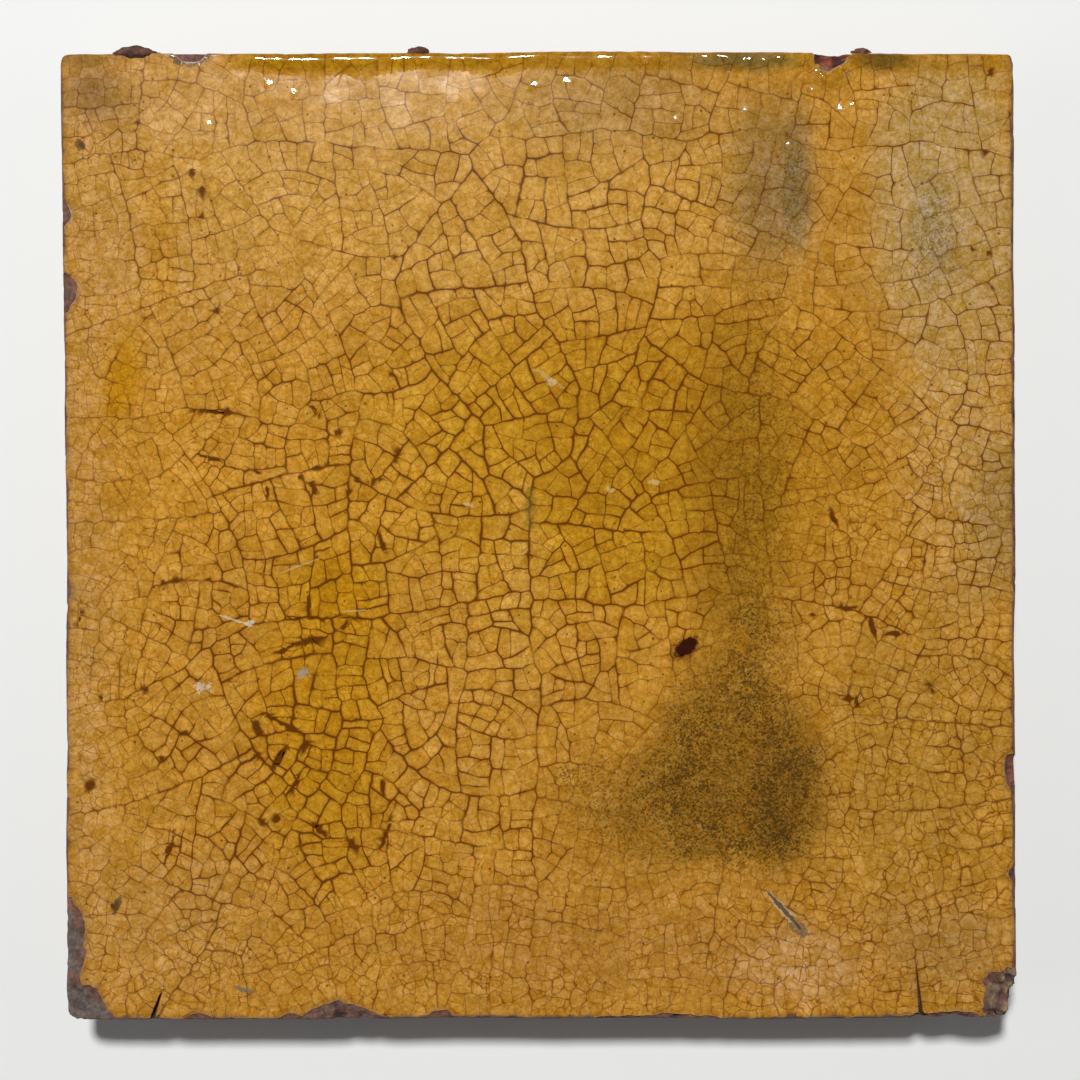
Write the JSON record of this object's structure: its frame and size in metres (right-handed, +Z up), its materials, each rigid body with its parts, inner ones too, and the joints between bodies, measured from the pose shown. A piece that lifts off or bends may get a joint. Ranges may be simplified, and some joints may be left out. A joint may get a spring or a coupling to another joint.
{
  "type": "glazed terracotta floor tile",
  "caption": "Square hand-made terracotta floor tile with a crazed honey-yellow glazed face, a glaze bead along an edge, chipped arrises and a plain clay underside.",
  "frame": {"origin": "middle of the flat underside, below the middle of the glazed face", "axes": "+Z up out of the glazed face, +Y towards the edge with the glaze bead, +X to the right when the face is seen with the bead at the top"},
  "size_m": [0.1998, 0.2035, 0.0227],
  "materials": {
    "glazed_terracotta": null
  },
  "bodies": {
    "root": {"tile": "glazed_terracotta"}
  },
  "joints": []
}
